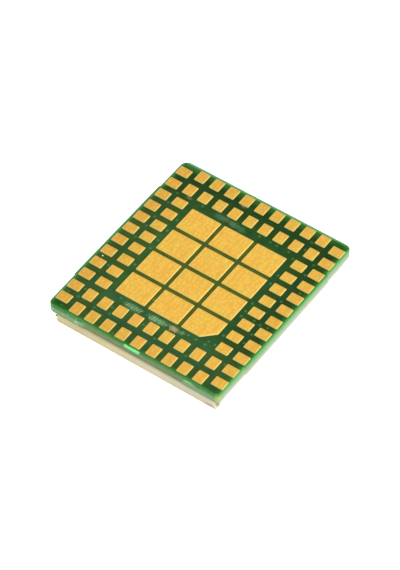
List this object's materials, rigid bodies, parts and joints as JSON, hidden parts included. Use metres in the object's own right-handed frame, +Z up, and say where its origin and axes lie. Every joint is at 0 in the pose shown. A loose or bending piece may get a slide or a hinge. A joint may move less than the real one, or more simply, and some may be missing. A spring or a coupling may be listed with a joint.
{
  "type": "gsm module",
  "caption": "Land-grid cellular radio module: green routed board with rings of gold solder lands around larger ground lands, on a folded metal shield can over its chips.",
  "frame": {"origin": "middle of the shield can's flat outer face, on which the module lies", "axes": "+X across the board to the right, +Y along the board to the back, +Z up out of the solder lands; the keyed ground land is at the front right"},
  "size_m": [0.0158, 0.0178, 0.0024],
  "materials": {
    "masked_laminate": "green solder mask, satin, over glass laminate with pale routed edges",
    "gold_land": "gold flash over nickel, finely grained, with bright edges",
    "can_sheet": "rolled nickel silver sheet, satin",
    "solder": "reflowed tin solder, satin",
    "chip_mould": "moulded epoxy, matte",
    "white_ceramic": "fired ceramic, matte",
    "crystal_lid": "plated lid, satin",
    "capacitor_ceramic": "fired ceramic, satin",
    "tinned_end": "tinned metal, satin",
    "ferrite": "fired ferrite, matte"
  },
  "bodies": {
    "root": {"circuit_board": "masked_laminate", "outer_lands_left": "gold_land", "outer_lands_right": "gold_land", "outer_lands_front": "gold_land", "outer_lands_back": "gold_land", "inner_lands_left": "gold_land", "inner_lands_right": "gold_land", "inner_lands_front": "gold_land", "inner_lands_back": "gold_land", "ground_lands": "gold_land", "keyed_ground_land": "gold_land", "shield_can": "can_sheet", "shield_solder": "solder", "processor": "chip_mould", "processor_balls": "solder", "amplifier": "chip_mould", "receive_filters": "white_ceramic", "protectors": "chip_mould", "matching_inductors": "ferrite", "matching_inductor_ends": "tinned_end", "memory": "chip_mould", "crystal_base": "white_ceramic", "crystal_lid": "crystal_lid", "clock_base": "white_ceramic", "clock_lid": "crystal_lid", "supply_capacitors": "capacitor_ceramic", "supply_capacitor_ends": "tinned_end", "decoupling_capacitors": "capacitor_ceramic", "decoupling_capacitor_ends": "tinned_end", "resistors": "chip_mould", "resistor_ends": "tinned_end"}
  },
  "joints": []
}
